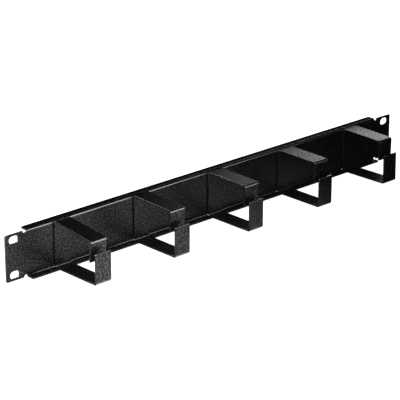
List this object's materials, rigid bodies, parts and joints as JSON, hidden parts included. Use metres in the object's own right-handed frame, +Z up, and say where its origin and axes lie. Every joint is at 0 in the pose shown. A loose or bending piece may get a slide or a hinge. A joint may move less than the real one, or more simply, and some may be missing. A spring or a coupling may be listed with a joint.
{
  "type": "horizontal cable manager",
  "caption": "Flat slotted rack panel with folded stiffening flanges and a row of open rectangular metal rings along its front that hold cables.",
  "frame": {"origin": "centre of the panel's rear face, the face that seats on the rack rails, midway between the four ear slots", "axes": "+X along the panel towards its right end as seen from the front, +Y backwards into the rack, +Z up; the rings stand forward along -Y"},
  "size_m": [0.4826, 0.0634, 0.044],
  "materials": {
    "powder_coat": "black fine-textured semi-gloss powder coat on sheet steel"
  },
  "bodies": {
    "root": {"panel": "powder_coat", "cable_ring_1": "powder_coat", "cable_ring_2": "powder_coat", "cable_ring_3": "powder_coat", "cable_ring_4": "powder_coat", "cable_ring_5": "powder_coat"}
  },
  "joints": []
}
